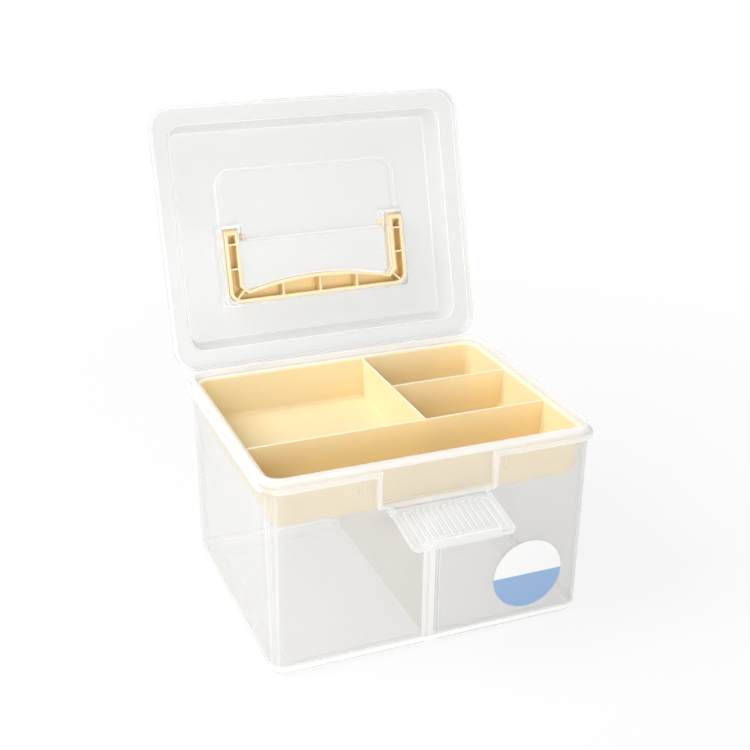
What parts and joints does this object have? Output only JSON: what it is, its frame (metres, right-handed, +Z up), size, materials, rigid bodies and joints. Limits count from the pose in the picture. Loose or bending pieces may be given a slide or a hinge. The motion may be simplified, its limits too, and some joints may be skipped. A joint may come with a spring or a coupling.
{
  "type": "storage box",
  "caption": "Rectangular translucent storage box with a hinged lid, folding carry handle, front latch, lift-out compartment tray and upright divider panel.",
  "frame": {"origin": "middle of the flat panel under the floor that the box stands on", "axes": "+Z up, front with the latch towards -Y, +X to the right seen from the front; lid open as pictured"},
  "size_m": [0.2664, 0.3439, 0.3628],
  "materials": {
    "clear_plastic": "translucent natural polypropylene, glossy",
    "lid_plastic": "translucent natural polypropylene, glossy",
    "panel_plastic": "translucent natural polypropylene, satin",
    "latch_plastic": "translucent natural polypropylene, glossy",
    "tray_plastic": "cream polypropylene, satin",
    "handle_plastic": "cream polypropylene, satin",
    "label_film": "plain white and pale blue film"
  },
  "bodies": {
    "box": {"box_body": "clear_plastic", "label_sticker": "label_film"},
    "lid": {"lid": "lid_plastic"},
    "handle": {"carry_handle": "handle_plastic"},
    "latch": {"front_latch": "latch_plastic"},
    "tray": {"tray": "tray_plastic"},
    "divider": {"divider_panel": "panel_plastic"}
  },
  "joints": [
    {"name": "lid_hinge", "type": "hinge", "parent": "box", "child": "lid", "pos_m": [0, 0.1096, 0.1533], "axis": [-1, 0, 0], "range_deg": [-105.6, 0]},
    {"name": "latch_hinge", "type": "hinge", "parent": "box", "child": "latch", "pos_m": [0, -0.1092, 0.1234], "axis": [1, 0, 0], "range_deg": [-101.5, 0]},
    {"name": "handle_pivot", "type": "hinge", "parent": "lid", "child": "handle", "pos_m": [0, 0.15985, 0.25036], "axis": [1, 0, 0], "range_deg": [0, 90]},
    {"name": "tray_lift", "type": "slide", "parent": "box", "child": "tray", "axis": [0, 0, 1], "range_m": [0, 0.06]},
    {"name": "divider_lift", "type": "slide", "parent": "box", "child": "divider", "axis": [0, 0, 1], "range_m": [0, 0.0115]}
  ]
}
